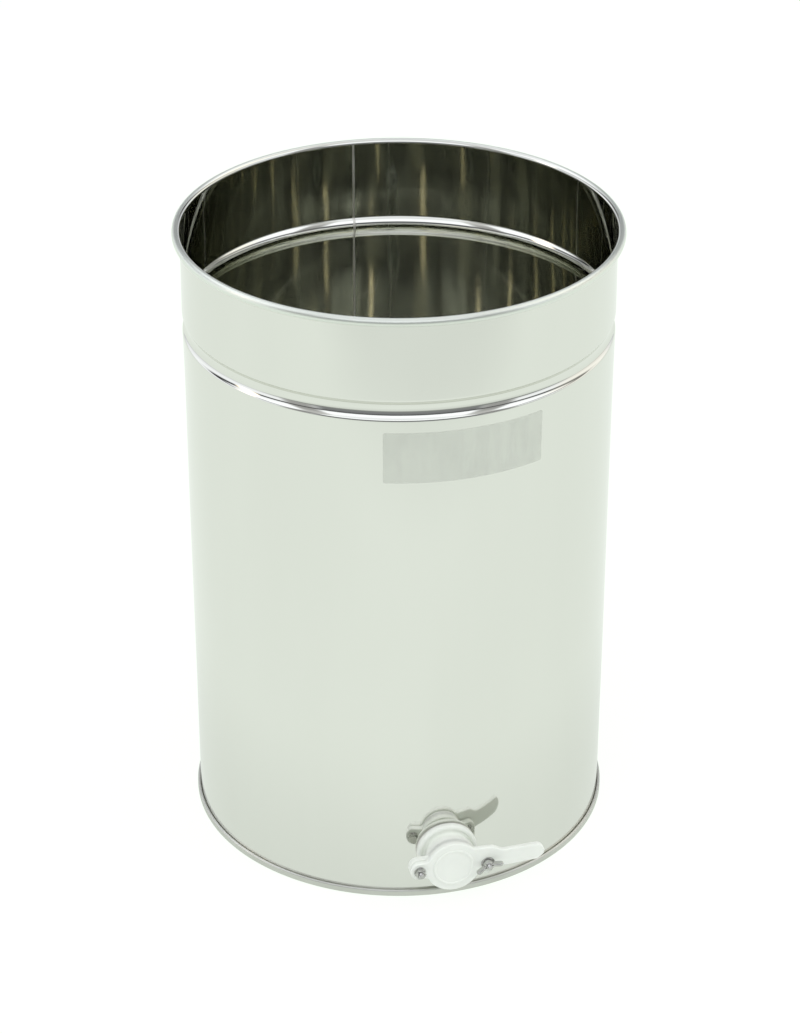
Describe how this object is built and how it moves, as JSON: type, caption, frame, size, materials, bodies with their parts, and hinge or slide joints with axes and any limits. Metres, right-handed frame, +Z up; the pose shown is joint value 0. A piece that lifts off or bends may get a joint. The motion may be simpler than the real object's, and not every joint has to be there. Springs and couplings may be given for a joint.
{
  "type": "honey settling tank",
  "caption": "Tall round stainless steel settling tank with a rolled rim, an inward strainer bead and a white plastic swing gate with wing nut clamp at its foot.",
  "frame": {"origin": "centre of the base ring, on the floor, on the axis of the tank", "axes": "+Z up along the tank's axis; the gate points along -Y; +X is to the right, seen from the gate"},
  "size_m": [0.3722, 0.405, 0.548],
  "materials": {
    "stainless_sheet": "bright rolled stainless sheet",
    "weld_metal": "planished weld",
    "steel_wire": "drawn wire",
    "seam_compound": "matte sealing compound",
    "label_film": "clear glossy film",
    "gate_plastic": "white moulded plastic, semi-gloss",
    "gasket_rubber": "white food-grade rubber",
    "fastener_steel": "bright steel fasteners"
  },
  "bodies": {
    "tank": {"tank_shell": "stainless_sheet", "seam_weld": "weld_metal", "rim_wire": "steel_wire", "tank_bottom": "stainless_sheet", "seam_sealant": "seam_compound", "label_film": "label_film", "gate_body": "gate_plastic", "outer_gasket": "gasket_rubber", "inner_gasket": "gasket_rubber", "lock_nut": "gate_plastic", "seat_seal": "gasket_rubber", "pivot_bolt": "fastener_steel", "pivot_head_washer": "fastener_steel", "pivot_washer": "fastener_steel", "pivot_nut": "fastener_steel", "clamp_bolt": "fastener_steel", "clamp_head_washer": "fastener_steel"},
    "blade": {"gate_blade": "gate_plastic"},
    "clamp_washer": {"clamp_washer": "fastener_steel"},
    "wing_nut": {"wing_nut": "fastener_steel"}
  },
  "joints": [
    {"name": "gate_swing", "type": "hinge", "parent": "tank", "child": "blade", "pos_m": [-0.0295, -0.2064, 0.046], "axis": [0, -1, 0], "range_deg": [0, 100]},
    {"name": "clamp_washer_slide", "type": "slide", "parent": "tank", "child": "clamp_washer", "axis": [0, -1, 0], "range_m": [0, 0.0024]},
    {"name": "wing_nut_turn", "type": "hinge", "parent": "clamp_washer", "child": "wing_nut", "pos_m": [0.0295, -0.2129, 0.046], "axis": [0, -1, 0], "range_deg": [0, 1080]}
  ],
  "couplings": [
    {"joint": "clamp_washer_slide", "follows": "wing_nut_turn", "m_per_rad": 0.00012732}
  ]
}
